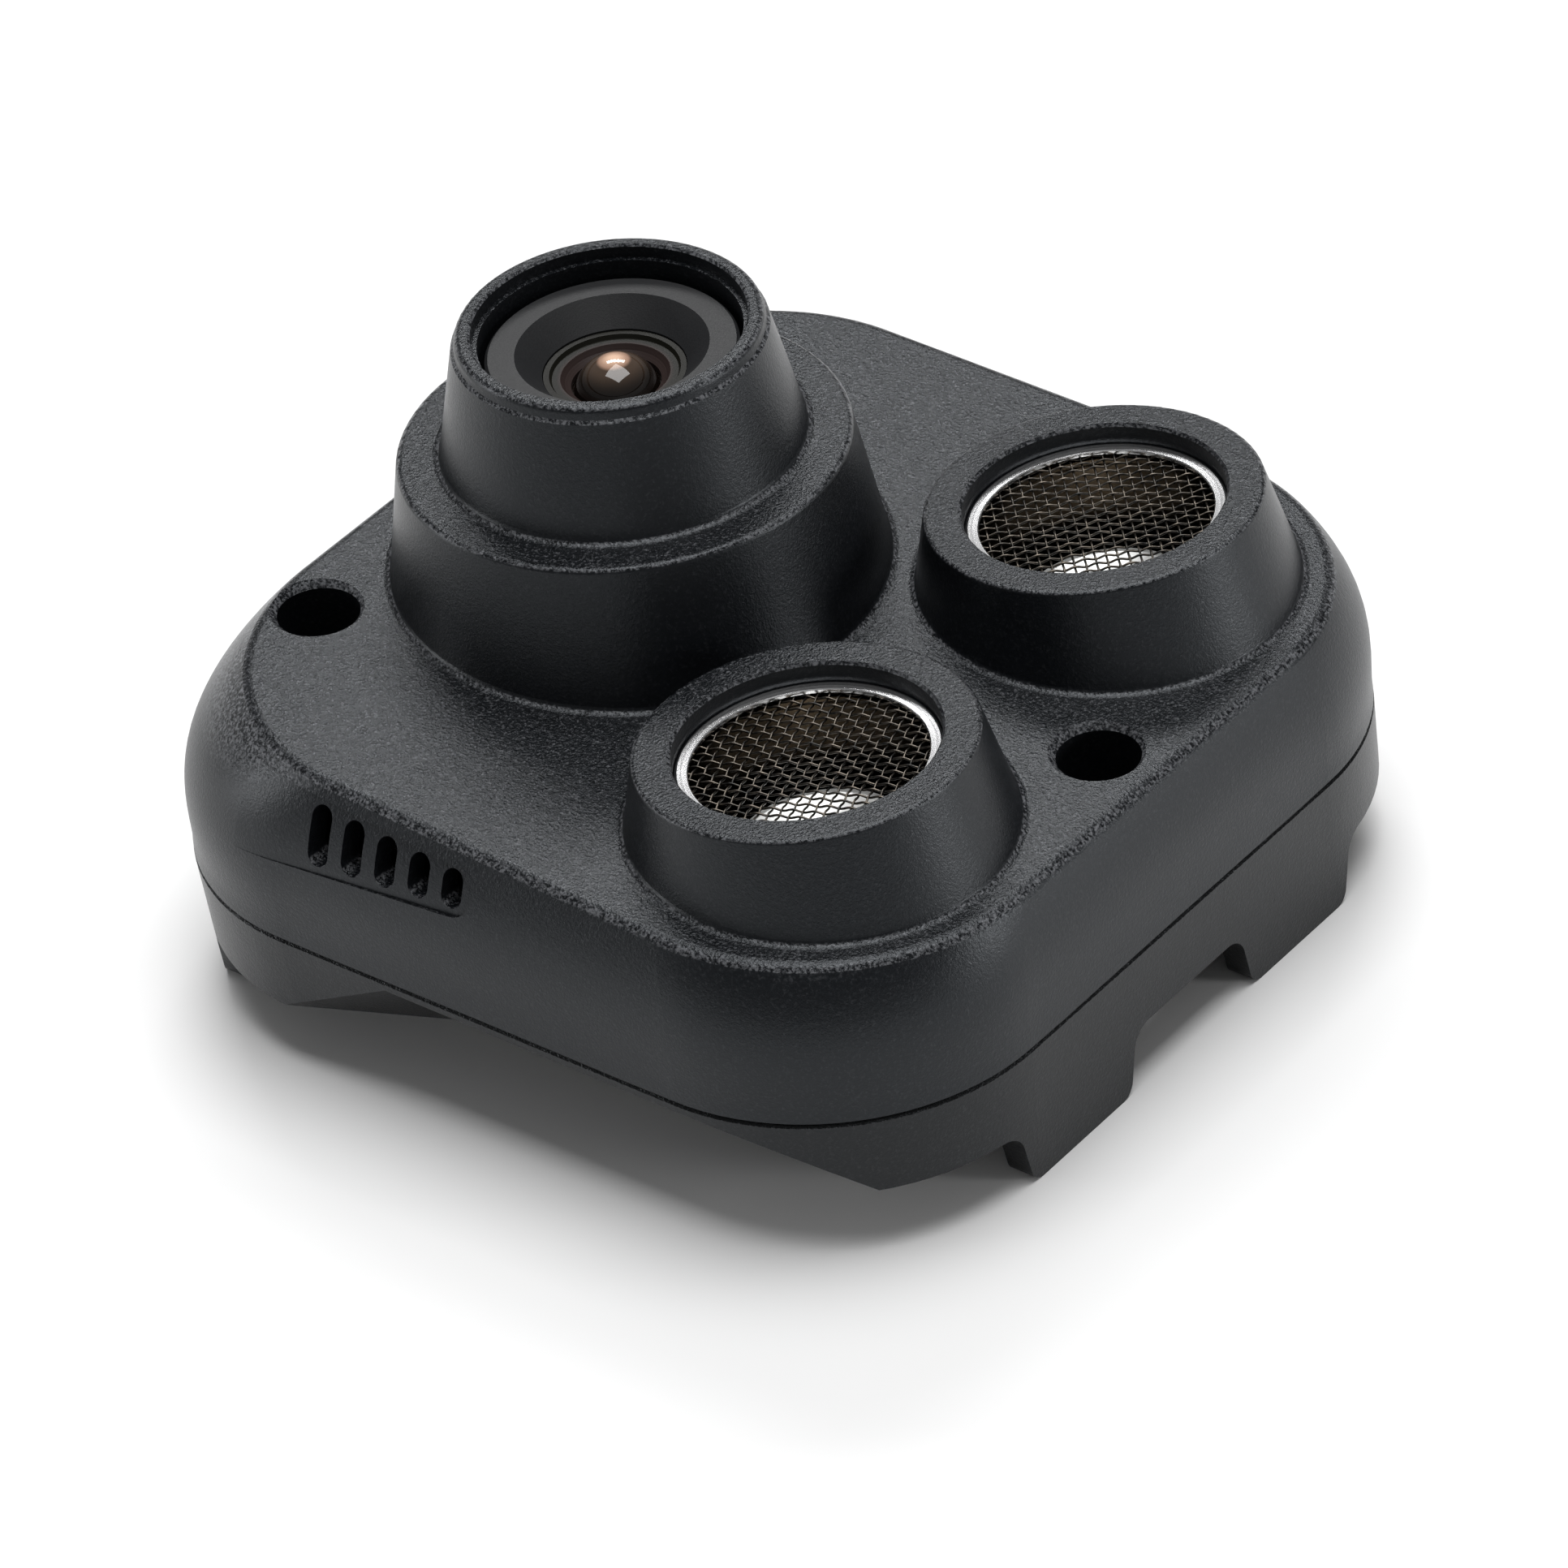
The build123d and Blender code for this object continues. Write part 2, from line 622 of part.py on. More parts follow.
def cross_recess(frame, height, up):
    """Cross drive cut into a screw head, facing down (1) or up (-1)."""
    length, width, depth = CROSS_SIZE
    low = height - 0.1 if up > 0 else height - depth
    bar = frame * Pos(0, 0, low) * Box(length, width, depth + 0.1, align=LOW)
    turned_bar = frame * Pos(0, 0, low) * Box(width, length, depth + 0.1, align=LOW)
    return bar + turned_bar


def group(shapes):
    """Separate solids kept side by side in one node."""
    return Compound(children=[one(shape) for shape in shapes])


def camera_flex():
    """Flat cable from the camera board's underside round to the main board."""
    high, low = JOINT_Z + CAMERA_BOARD_H - 0.85, BOARD_TOP_Z + 0.65
    bend = (high - low) / 2
    start, turn = -15.6, -18.0
    line = Line((start, 0, high), (turn, 0, high))
    arc = ThreePointArc((turn, 0, high), (turn - bend, 0, (high + low) / 2), (turn, 0, low))
    back = Line((turn, 0, low), (start, 0, low))
    strip = None
    for edge in (line, arc, back):
        piece = extrude(make_face(offset_strip(edge, FLEX_T)), FLEX_W / 2, both=True, dir=(0, 1, 0))
        strip = piece if strip is None else strip + piece
    return one(strip)


def offset_strip(edge, thickness):
    """Closed outline of a thin strip that follows a straight or round edge in the XZ plane."""
    a, m, b = edge @ 0, edge @ 0.5, edge @ 1
    sides = []
    for amount in (thickness / 2, -thickness / 2):
        points = []
        for place, part in ((a, 0), (m, 0.5), (b, 1)):
            tangent = edge % part
            points.append(place + Vector(-tangent.Z, 0, tangent.X) * amount)
        sides.append(points)
    first, second = sides
    straight = edge.geom_type == GeomType.LINE
    outline = strip_side(first, straight) + Line(first[2], second[2])
    return outline + strip_side(second, straight) + Line(second[0], first[0])


def strip_side(points, straight):
    """One long side of a thin strip, through three points."""
    return Line(points[0], points[2]) if straight else ThreePointArc(*points)


def flex_sockets():
    """The two flat-cable sockets, one under the camera board and one on the main board."""
    high = JOINT_Z + CAMERA_BOARD_H
    upper = slab(-14.0, 0, high - 1.45, high - 0.25, 3.0, FLEX_W + 2)
    lower = slab(-14.0, 0, BOARD_TOP_Z, BOARD_TOP_Z + 1.2, 3.0, FLEX_W + 2)
    return group([upper, lower])


# ------------------------------------------------------------------ transducers

def can_top():
    return SONAR_TOP_H - CAN_SINK


def transducer_can(frame):
    """Thin aluminium can, open below, with a flat lip above the screen and a bead below it."""
    top, low = can_top(), can_top() - CAN_H
    inner = CAN_R - CAN_WALL
    bead = top - SCREEN_SINK - SCREEN_T - 0.02
    points = [(CAN_R, low), (CAN_R, top - 0.22), (CAN_R - 0.06, top - 0.07), (CAN_R - 0.2, top)]
    points += [(CAN_LIP_R + 0.06, top - 0.04), (CAN_LIP_R, top - 0.1), (CAN_LIP_R, top - CAN_LIP_T)]
    points += [(inner, top - CAN_LIP_T), (inner, bead), (inner - 0.4, bead)]
    points += [(inner - 0.4, bead - 0.3), (inner, bead - 0.7), (inner, low)]
    return turned(frame, points)


def mesh_screen(frame):
    """Woven wire disc between the can's lip and its bead."""
    top = can_top() - SCREEN_SINK
    return rod(frame, CAN_R - CAN_WALL - GAP, top - SCREEN_T, top)


def cone_foot():
    """Height of the cone's foot, which is the vibrating plate's face."""
    return can_top() - CONE_DEPTH - CONE_H


def resonator_cone(frame):
    """Light aluminium cone, wide end up, glued to the vibrating plate."""
    low, rim = cone_foot(), cone_foot() + CONE_H
    foot, thick = 0.9, 0.35
    points = [(0, low), (foot + thick, low), (CONE_R, rim - thick), (CONE_R, rim), (CONE_R - thick, rim)]
    points += [(foot, low + 0.5), (0, low + 0.5)]
    return turned(frame, points)


def vibrating_plate(frame):
    top = cone_foot() - 0.02
    return rod(frame, PLATE_R, top - PLATE_T, top)


def piezo_disc(frame):
    top = cone_foot() - 0.04 - PLATE_T
    return rod(frame, PIEZO_R, top - PIEZO_T, top)


def transducer_base(frame):
    """Moulded plug that closes the can and carries the plate on a ring."""
    low = can_top() - CAN_H
    plug = rod(frame, CAN_R - CAN_WALL - GAP, low, low + PLUG_H)
    body = plug + ring(frame, *PLATE_RING, low + PLUG_H - 0.1, cone_foot() - 0.04 - PLATE_T)
    for side in (1, -1):
        body -= rod(frame * Pos(0, side * PIN_SPACING / 2, 0), PIN_R + GAP, low - 1, low + 3)
    return one(body)


def transducer_pins(frame):
    """Two wire leads down to the main board."""
    low = can_top() - CAN_H
    pins = []
    for side in (1, -1):
        pins.append(rod(frame * Pos(0, side * PIN_SPACING / 2, 0), PIN_R, -3.2, low + 2.2))
    return group(pins)


def rubber_sleeve(frame):
    """Soft ring that holds the can and keeps its vibration from the housing."""
    high = SONAR_TOP_H - SONAR_LIP_T - GAP
    return ring(frame, SLEEVE_R, CAN_R + 0.02, high - SLEEVE_H, high)


# ------------------------------------------------------------------ main board

def main_board():
    length = BOARD_X[1] - BOARD_X[0]
    middle = (BOARD_X[0] + BOARD_X[1]) / 2
    board = slab(middle, 0, BOARD_TOP_Z - BOARD_T, BOARD_TOP_Z, length, 2 * BOARD_HALF_Y, 2.0)
    for x, y in WELLS[:2]:
        board -= rod(at(x, y), WELL_TUBE_R + 0.6, 0, 20)
    for place in BOARD_SCREWS:
        board -= rod(at(*place), SMALL_HOLE_R, 0, 20)
    for frame in SONARS.values():
        for side in (1, -1):
            board -= rod(frame * Pos(0, side * PIN_SPACING / 2, 0), PIN_R + 0.15, -6, 2)
    return one(board)


def board_screws():
    """Four pan-head screws down through the board into the floor posts."""
    head_r, head_h = SMALL_HEAD
    screws = []
    for place in BOARD_SCREWS:
        frame = at(*place)
        head = rod(frame, head_r, BOARD_TOP_Z, BOARD_TOP_Z + head_h)
        shank = rod(frame, SMALL_SHANK_R, SKIRT_Z + 0.8, BOARD_TOP_Z + 0.2)
        screws.append(head + shank - cross_recess(frame, BOARD_TOP_Z + head_h, -1))
    return group(screws)


def housing_screws():
    """Three screws up through the floor into the upper housing's posts."""
    head_r, head_h = LARGE_HEAD
    low = SKIRT_Z + 0.2
    screws = []
    for place in HOUSING_SCREWS:
        frame = at(*place)
        head = rod(frame, head_r, low, low + head_h)
        shank = rod(frame, LARGE_SHANK_R, low + head_h - 0.1, JOINT_Z + LARGE_REACH)
        screws.append(head + shank - cross_recess(frame, low, 1))
    return group(screws)


def chip(x, y, length, width, height):
    return slab(x, y, BOARD_TOP_Z, BOARD_TOP_Z + height, length, width)


def sonar_drivers():
    return group([chip(4.6, side * 8.6, 5.0, 4.0, 1.5) for side in (1, -1)])


def capacitors():
    places = []
    for x, y in ((-8.5, 9.2), (-6.0, 9.2), (9.6, 2.4), (-0.6, 16.0)):
        places += [(x, y), (x, -y)]
    return group([chip(x, y, 1.6, 0.9, 0.9) for x, y in places])


def interface_socket():
    """Open-bottomed socket flush with the floor, soldered under the main board."""
    high = BOARD_TOP_Z - BOARD_T
    body = slab(SOCKET_X, 0, SKIRT_Z, high, SOCKET_L, SOCKET_W, 0.5)
    inside = (SOCKET_L - 2 * SOCKET_WALL, SOCKET_W - 2 * SOCKET_WALL, 0.3)
    body -= slab(SOCKET_X, 0, SKIRT_Z - 1, high - SOCKET_WALL, *inside)
    for x in pin_places():
        body -= slab(x, 0, 0, high + 1, PIN_WIDTH + 2 * GAP, PIN_WIDTH + 2 * GAP)
    return one(body)


def pin_places():
    """Contacts of the interface socket along X."""
    return [SOCKET_X + (index - (PIN_COUNT - 1) / 2) * PIN_PITCH for index in range(PIN_COUNT)]


def interface_pins():
    """Square contacts in a row."""
    high = BOARD_TOP_Z - BOARD_T
    return group([slab(x, 0, SKIRT_Z + 0.4, high, PIN_WIDTH, PIN_WIDTH) for x in pin_places()])


# ------------------------------------------------------------------ assembly

def nodes():
    """Every piece by name."""
    pieces = {"upper_housing": upper_housing(), "lower_housing": lower_housing()}
    pieces["lens_barrel"] = lens_barrel()
    pieces["lens_retainer"] = lens_retainer()
    pieces["front_lens"] = front_lens()
    pieces["lens_spacer"] = ring(CAMERA, LENS_R, LENS_BORE_R, FRONT_SPACER_LOW, FLANGE_H - 0.7)
    pieces["middle_lens"] = inner_lens(*MIDDLE_LENS)
    pieces["rear_spacer"] = ring(CAMERA, LENS_R, LENS_BORE_R, *REAR_SPACER)
    pieces["rear_lens"] = inner_lens(*REAR_LENS)
    pieces["lens_lock_ring"] = ring(CAMERA, LOCK_RING_R, THREAD_R + FOCUS_GAP, *LOCK_RING)
    pieces["lens_seal"] = ring(CAMERA, *SEAL_R, SHOULDER_H + 0.02, HEAD_LOW_H - 0.05)
    pieces["lens_holder"] = lens_holder()
    pieces["infrared_filter"] = CAMERA * Pos(0, 0, FILTER_H) * Box(*FILTER_SIZE, align=LOW)
    board_top = CAMERA_BOARD_H + CAMERA_BOARD_T
    pieces["image_sensor"] = CAMERA * Pos(0, 0, board_top) * Box(*SENSOR_SIZE, align=LOW)
    pieces["camera_board"] = camera_board()
    pieces["camera_board_screws"] = camera_board_screws()
    pieces["camera_flex"] = camera_flex()
    pieces["flex_sockets"] = flex_sockets()
    for side, frame in SONARS.items():
        pieces["transducer_can_" + side] = transducer_can(frame)
        pieces["mesh_screen_" + side] = mesh_screen(frame)
        pieces["resonator_cone_" + side] = resonator_cone(frame)
        pieces["vibrating_plate_" + side] = vibrating_plate(frame)
        pieces["piezo_disc_" + side] = piezo_disc(frame)
        pieces["transducer_base_" + side] = transducer_base(frame)
        pieces["transducer_pins_" + side] = transducer_pins(frame)
        pieces["rubber_sleeve_" + side] = rubber_sleeve(frame)
    pieces["main_board"] = main_board()
    pieces["board_screws"] = board_screws()
    pieces["processor_chip"] = chip(-4.6, 0, 9.0, 9.0, 1.0)
    pieces["sonar_driver_chips"] = sonar_drivers()
    pieces["crystal_can"] = chip(-4.6, -7.6, 3.2, 1.6, 0.8)
    pieces["capacitors"] = capacitors()
    pieces["interface_socket"] = interface_socket()
    pieces["interface_pins"] = interface_pins()
    pieces["housing_screws"] = housing_screws()
    return pieces


os.makedirs("parts", exist_ok=True)
for name, piece in nodes().items():
    export_step(piece, "parts/" + name + ".step")
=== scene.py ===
import math
import random

import bpy
import numpy as np
from mathutils import Matrix, Quaternion, Vector


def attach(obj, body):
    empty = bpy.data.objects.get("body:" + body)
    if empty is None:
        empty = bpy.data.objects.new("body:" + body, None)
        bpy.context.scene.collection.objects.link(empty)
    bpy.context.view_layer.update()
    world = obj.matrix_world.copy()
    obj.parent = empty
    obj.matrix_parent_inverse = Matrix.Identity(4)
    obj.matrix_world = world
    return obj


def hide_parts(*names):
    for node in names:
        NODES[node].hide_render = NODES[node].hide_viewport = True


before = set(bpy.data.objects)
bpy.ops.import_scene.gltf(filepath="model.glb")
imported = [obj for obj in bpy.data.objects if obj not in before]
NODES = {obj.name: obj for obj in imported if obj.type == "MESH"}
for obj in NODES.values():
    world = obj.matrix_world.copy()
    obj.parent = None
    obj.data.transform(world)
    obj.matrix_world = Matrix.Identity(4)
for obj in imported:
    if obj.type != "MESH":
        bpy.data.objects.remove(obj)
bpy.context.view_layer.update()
MM = 0.001

# ---- sizes shared with the CAD model, in millimetres
JOINT_Z = 9.35
CAMERA_X = -9.55
CAMERA_LEAN = 0.9
SONAR_X = 15.41
SONAR_Y = 14.15
SONAR_LEAN = 3.9
CAN_TOP = 14.75

# ---- depths below the top of a can, in millimetres: bright metal ends, painted shade begins, screen
CAN_BRIGHT_TO = 0.32
CAN_SHADE_FROM = 0.45
SCREEN_DEPTH = 0.48

# ---- woven wire screens
WEAVE_PITCH = 0.66
WIRE_R = 0.072
SCREEN_R = 7.4
SCREEN_H = CAN_TOP - SCREEN_DEPTH
WEAVE_TURN = {"left": 17.8, "right": 44.4}
WEAVE_SEED = {"left": 11, "right": 23}
WIRE_SIDES = 6
STEPS_PER_PITCH = 6
WIRE_DRIFT = 0.04

# ---- grain of the moulded plastic, in features per metre, and depths in millimetres
COARSE_GRAIN = 4600
PIT_GRAIN = 5600
FINE_GRAIN = 9000
BROAD_GRAIN = 90
TONE_GRAIN = 2600
GRAIN_DEPTH = 0.06
SAG_DEPTH = 0.05
# distances from the joint where the painted shade of the groove is full and where it has faded out
GROOVE_SHADE_BAND = (0.14, 0.19)
TURNING_MARKS = 16000
MARK_DEPTH = 0.004

# ---- light and camera, in metres, watts and millimetres of lens
WORLD_LIGHT = 0.17
LIGHT_TARGET = (0, 0, 0.02)
SOFTBOXES = {
    "light_top": ((0.0, 0.12, 1.2), (0.9, 0.9), 14),
    "light_back": ((-0.36, 0.44, 0.60), (0.42, 0.14), 2.6),
    "light_right": ((0.62, 0.25, 0.10), (0.10, 0.16), 1.3),
    "light_left": ((-0.60, -0.40, 0.12), (0.10, 0.16), 0.8),
}
FLOOR_SIZE = 8
CAMERA_PLACE = (0.314381, -0.357018, 0.357837)
CAMERA_TURN = (0.8508804, 0.4126860, 0.1822287, 0.2692312)
LENS_LENGTH = 223.617
SENSOR_WIDTH = 36.0


def boss_matrix(x, y, lean):
    """Frame on a boss axis, as in the CAD model, in metres."""
    place = Matrix.Translation((x * MM, y * MM, JOINT_Z * MM))
    return place @ Matrix.Rotation(math.radians(-lean), 4, "Y")


LENS_FRAME = boss_matrix(CAMERA_X, 0, CAMERA_LEAN)
SONAR_FRAMES = {
    "right": boss_matrix(SONAR_X, SONAR_Y, SONAR_LEAN),
    "left": boss_matrix(SONAR_X, -SONAR_Y, SONAR_LEAN),
}


# ------------------------------------------------------------------ node helpers

class Mat:
    """A node material with short ways to add and join nodes."""

    def __init__(self, name):
        self.material = bpy.data.materials.new(name)
        self.material.use_nodes = True
        self.tree = self.material.node_tree
        self.tree.nodes.clear()
        out = self.tree.nodes.new("ShaderNodeOutputMaterial")
        self.bsdf = self.tree.nodes.new("ShaderNodeBsdfPrincipled")
        self.link(self.bsdf.outputs[0], out.inputs["Surface"])
        self.coords = self.tree.nodes.new("ShaderNodeTexCoord").outputs

    def link(self, source, target):
        self.tree.links.new(source, target)

    def feed(self, socket, value):
        """Joins an output to a socket, or sets the socket to a plain value."""
        if isinstance(value, bpy.types.NodeSocket):
            self.link(value, socket)
        elif value is not None:
            socket.default_value = value

    def math(self, operation, a, b=None, c=None):
        node = self.tree.nodes.new("ShaderNodeMath")
        node.operation = operation
        for socket, value in zip(node.inputs, (a, b, c)):
            self.feed(socket, value)
        return node.outputs[0]

    def noise(self, scale, detail=2.0, roughness=0.5, where=None):
        node = self.tree.nodes.new("ShaderNodeTexNoise")
        node.inputs["Scale"].default_value = scale
        node.inputs["Detail"].default_value = detail
        node.inputs["Roughness"].default_value = roughness
        self.feed(node.inputs["Vector"], where or self.coords["Object"])
        return node.outputs["Fac"]

    def cells(self, scale):
        node = self.tree.nodes.new("ShaderNodeTexVoronoi")
        node.inputs["Scale"].default_value = scale
        self.link(self.coords["Object"], node.inputs["Vector"])
        return node.outputs["Distance"]

    def span(self, value, low, high, out_low=0.0, out_high=1.0, smooth=False):
        """Maps low..high to out_low..out_high, clamped."""
        node = self.tree.nodes.new("ShaderNodeMapRange")
        node.interpolation_type = "SMOOTHSTEP" if smooth else "LINEAR"
        self.feed(node.inputs["Value"], value)
        limits = {"From Min": low, "From Max": high, "To Min": out_low, "To Max": out_high}
        for name, number in limits.items():
            self.feed(node.inputs[name], number)
        return node.outputs["Result"]

    def mix(self, amount, first, second):
        """Mixes two colours."""
        node = self.tree.nodes.new("ShaderNodeMix")
        node.data_type = "RGBA"
        self.feed(node.inputs[0], amount)
        for socket, value in ((node.inputs[6], first), (node.inputs[7], second)):
            self.feed(socket, rgba(value) if isinstance(value, tuple) else value)
        return node.outputs[2]

    def blend(self, amount, first, second):
        """Mixes two numbers."""
        node = self.tree.nodes.new("ShaderNodeMix")
        for socket, value in ((node.inputs[0], amount), (node.inputs[2], first), (node.inputs[3], second)):
            self.feed(socket, value)
        return node.outputs[0]

    def part(self, vector, axis):
        node = self.tree.nodes.new("ShaderNodeSeparateXYZ")
        self.link(vector, node.inputs[0])
        return node.outputs[axis]

    def bump(self, height, distance, strength=1.0, normal=None):
        node = self.tree.nodes.new("ShaderNodeBump")
        self.feed(node.inputs["Height"], height)
        self.feed(node.inputs["Distance"], distance)
        self.feed(node.inputs["Strength"], strength)
        self.feed(node.inputs["Normal"], normal)
        return node.outputs[0]

    def put(self, **values):
        """Sets or joins inputs of the Principled shader by name, with _ for a space."""
        for name, value in values.items():
            socket = self.bsdf.inputs[name.replace("_", " ")]
            self.feed(socket, rgba(value) if isinstance(value, tuple) else value)


def rgba(colour):
    return (*colour, 1.0) if len(colour) == 3 else colour


# ------------------------------------------------------------------ materials

def moulded_plastic(name, tint=(0.0054, 0.0062, 0.0076), warm=0.0):
    """Black moulded plastic: grain on faces that look up, with painted glints as pale flecks there, a
    weaker grain on the sides, painted glints as paler flecks along rounded edges and boss feet, and
    painted shade in the pits of the grain and in the joint groove."""
    m = Mat(name)
    position = m.coords["Object"]
    tilt = m.part(m.coords["Normal"], "Z")
    upward = m.span(tilt, 0.45, 0.93, 0.0, 1.0, smooth=True)
    edge = m.math("MULTIPLY", m.span(tilt, 0.52, 0.66), m.span(tilt, 0.84, 0.95, 1.0, 0.0))
    off_joint = m.math("ABSOLUTE", m.math("SUBTRACT", m.part(position, "Z"), JOINT_Z * MM))
    # mask of the painted shade along the joint groove
    groove = m.span(off_joint, *(edge_mm * MM for edge_mm in GROOVE_SHADE_BAND), 1.0, 0.0, smooth=True)

    coarse = m.noise(COARSE_GRAIN, 3.0, 0.68)
    pits = m.cells(PIT_GRAIN)
    fine = m.noise(FINE_GRAIN, 2.0, 0.6)
    broad = m.noise(BROAD_GRAIN, 3.0, 0.5)
    spark = m.math("MULTIPLY_ADD", pits, 0.35, coarse)
    side_grain = m.math("MULTIPLY_ADD", fine, 0.25, m.math("MULTIPLY", coarse, 0.42))
    normal = m.bump(m.blend(upward, side_grain, spark), GRAIN_DEPTH * MM, 1.0)
    normal = m.bump(broad, SAG_DEPTH * MM, 0.3, normal)

    shade = m.span(broad, 0.3, 0.7, 0.9, 1.12)
    darker = tuple(c * 0.7 for c in tint)
    lighter = tuple(c * 1.35 + warm for c in tint)
    base = m.mix(m.math("MULTIPLY", m.noise(TONE_GRAIN, 3.0), shade), darker, lighter)
    # painted glints: pale flecks on the grain that stand in for sparkle, stronger on faces that look up
    painted_sparkle = m.math("MULTIPLY", m.span(coarse, 0.545, 0.70), m.span(upward, 0.0, 1.0, 0.10, 0.56))
    base = m.mix(painted_sparkle, base, (0.135, 0.138, 0.148))
    # painted shade: the low points of the grain, which the bump sinks, darkened, more on faces that look
    # up
    pit_shade = m.math("MULTIPLY", m.span(coarse, 0.47, 0.36), m.span(upward, 0.0, 1.0, 0.2, 0.8))
    base = m.mix(pit_shade, base, (0.0012, 0.0013, 0.0015))
    # painted glints: pale flecks on rounded edges and boss feet that stand in for the top light catching
    # them
    edge_glint = m.math("MULTIPLY", edge, m.span(coarse, 0.44, 0.62))
    base = m.mix(edge_glint, base, (0.115, 0.118, 0.126))
    # painted shade: near-black band in the joint groove
    base = m.mix(groove, base, (0.0006, 0.0006, 0.0006))
    rough = m.blend(upward, m.span(fine, 0.3, 0.7, 0.29, 0.37), m.span(coarse, 0.35, 0.65, 0.15, 0.27))
    rough = m.math("MULTIPLY", rough, m.span(broad, 0.3, 0.7, 0.96, 1.06))
    m.put(Base_Color=base, Roughness=rough, Normal=normal, Specular_IOR_Level=0.34)
    m.put(Specular_Tint=(0.90, 0.95, 1.0))
    return m.material


def satin(name, dark, light, rough, grain=7000, depth=0.01, metallic=0.0):
    """Plain satin material with a little grain in colour, roughness and height."""
    m = Mat(name)
    grains = m.noise(grain, 2.5, 0.55)
    patches = m.noise(grain / 12, 3.0, 0.5)
    base = m.mix(m.math("MULTIPLY_ADD", grains, 0.5, m.math("MULTIPLY", patches, 0.5)), dark, light)
    uneven = m.span(grains, 0.3, 0.7, rough * 0.88, rough * 1.12)
    m.put(Base_Color=base, Metallic=metallic, Roughness=uneven)
    m.put(Normal=m.bump(grains, depth * MM, 1.0), Specular_IOR_Level=0.32)
    return m.material


def axial(m, axis_frame):
    """Radius from a boss axis and height along it, as two node outputs."""
    inverse = axis_frame.inverted()
    mapping = m.tree.nodes.new("ShaderNodeMapping")
    mapping.vector_type = "POINT"
    mapping.inputs["Location"].default_value = inverse.to_translation()
    mapping.inputs["Rotation"].default_value = inverse.to_euler()
    m.link(m.coords["Object"], mapping.inputs["Vector"])
    local = mapping.outputs[0]
    x, y, z = (m.part(local, axis) for axis in "XYZ")
    radius = m.math("SQRT", m.math("ADD", m.math("MULTIPLY", x, x), m.math("MULTIPLY", y, y)))
    return radius, z


def turning_marks(m, radius, height):
    """Fine rings that a lathe leaves."""
    along = m.tree.nodes.new("ShaderNodeCombineXYZ")
    m.link(radius, along.inputs[0])
    m.link(height, along.inputs[1])
    return m.noise(TURNING_MARKS, 2.0, 0.6, along.outputs[0])


def can_metal(name, axis_frame):
    """Turned aluminium, bright at the rim, with brown-black painted shade below the screen."""
    m = Mat(name)
    radius, height = axial(m, axis_frame)
    marks = turning_marks(m, radius, height)
    stain_and_shade_mottle = m.noise(1400, 3.0, 0.6)
    bright = m.mix(m.math("MULTIPLY", marks, stain_and_shade_mottle), (0.74, 0.74, 0.75), (0.93, 0.93, 0.93))
    # painted shade: brown-black inside the can below the screen, fading in below the bright rim
    deep = m.span(height, (CAN_TOP - CAN_SHADE_FROM) * MM, (CAN_TOP - CAN_BRIGHT_TO) * MM, 1.0, 0.0)
    shade_below_screen = m.mix(stain_and_shade_mottle, (0.030, 0.024, 0.017), (0.085, 0.062, 0.040))
    m.put(Base_Color=m.mix(deep, bright, shade_below_screen), Metallic=1.0)
    m.put(Roughness=m.span(marks, 0.3, 0.7, 0.17, 0.27), Normal=m.bump(marks, MARK_DEPTH * MM, 1.0))
    return m.material


def wire_metal():
    """Drawn wire, darkened in places."""
    m = Mat("woven_wire")
    tarnish = m.noise(1500, 3.0, 0.6)
    streak = m.noise(6500, 2.0, 0.5)
    base = m.mix(m.span(tarnish, 0.35, 0.65), (0.034, 0.034, 0.033), (0.15, 0.13, 0.108))
    m.put(Base_Color=base, Metallic=1.0, Roughness=m.span(streak, 0.3, 0.7, 0.26, 0.40))
    m.put(Normal=m.bump(streak, MARK_DEPTH * MM, 1.0))
    return m.material


def lens_glass():
    """Front glass, painted opaque: a painted reflection of the inner lenses, tan in the middle,
    brown further out and black at the edge.
    """
    m = Mat("front_glass")
    radius, _ = axial(m, LENS_FRAME)
    smear = m.noise(500, 3.0, 0.5)
    wobble = m.math("MULTIPLY_ADD", m.math("SUBTRACT", smear, 0.5), 0.25 * MM, radius)
    outward = m.span(wobble, 1.3 * MM, 2.3 * MM, smooth=True)
    # painted reflection: brown further out, black at the edge
    brown = m.mix(outward, (0.060, 0.040, 0.028), (0.006, 0.004, 0.003))
    centre = m.span(wobble, 0.2 * MM, 0.95 * MM, smooth=True)
    # painted reflection of the inner lenses: tan in the middle
    tan = m.mix(centre, (0.74, 0.50, 0.36), (0.34, 0.21, 0.15))
    edge = m.span(wobble, 0.85 * MM, 1.12 * MM, smooth=True)
    m.put(Base_Color=m.mix(edge, tan, brown), Roughness=m.span(smear, 0.3, 0.7, 0.02, 0.05))
    m.put(Specular_IOR_Level=0.62)
    return m.material


def retainer_black():
    """Black ring, olive in its outer part and mauve towards the glass."""
    m = Mat("retainer_black")
    radius, height = axial(m, LENS_FRAME)
    marks = turning_marks(m, radius, height)
    inward = m.span(radius, 3.25 * MM, 3.6 * MM, 1.0, 0.0, smooth=True)
    olive = m.mix(marks, (0.0045, 0.0045, 0.0030), (0.0105, 0.0100, 0.0070))
    mauve = m.mix(marks, (0.016, 0.010, 0.009), (0.036, 0.024, 0.022))
    m.put(Base_Color=m.mix(inward, olive, mauve), Roughness=m.span(marks, 0.3, 0.7, 0.36, 0.48))
    m.put(Specular_IOR_Level=0.14, Normal=m.bump(marks, MARK_DEPTH * MM, 1.0))
    return m.material


def coated_glass(name, tint, coat_tint):
    """Lens glass with a faint coating colour."""
    m = Mat(name)
    smear = m.noise(500, 3.0, 0.5)
    m.put(Base_Color=m.mix(smear, tint, tuple(min(1.0, c * 1.06) for c in tint)))
    m.put(Roughness=m.span(smear, 0.3, 0.7, 0.0, 0.02), IOR=1.55, Transmission_Weight=1.0)
    m.put(Specular_Tint=coat_tint)
    return m.material


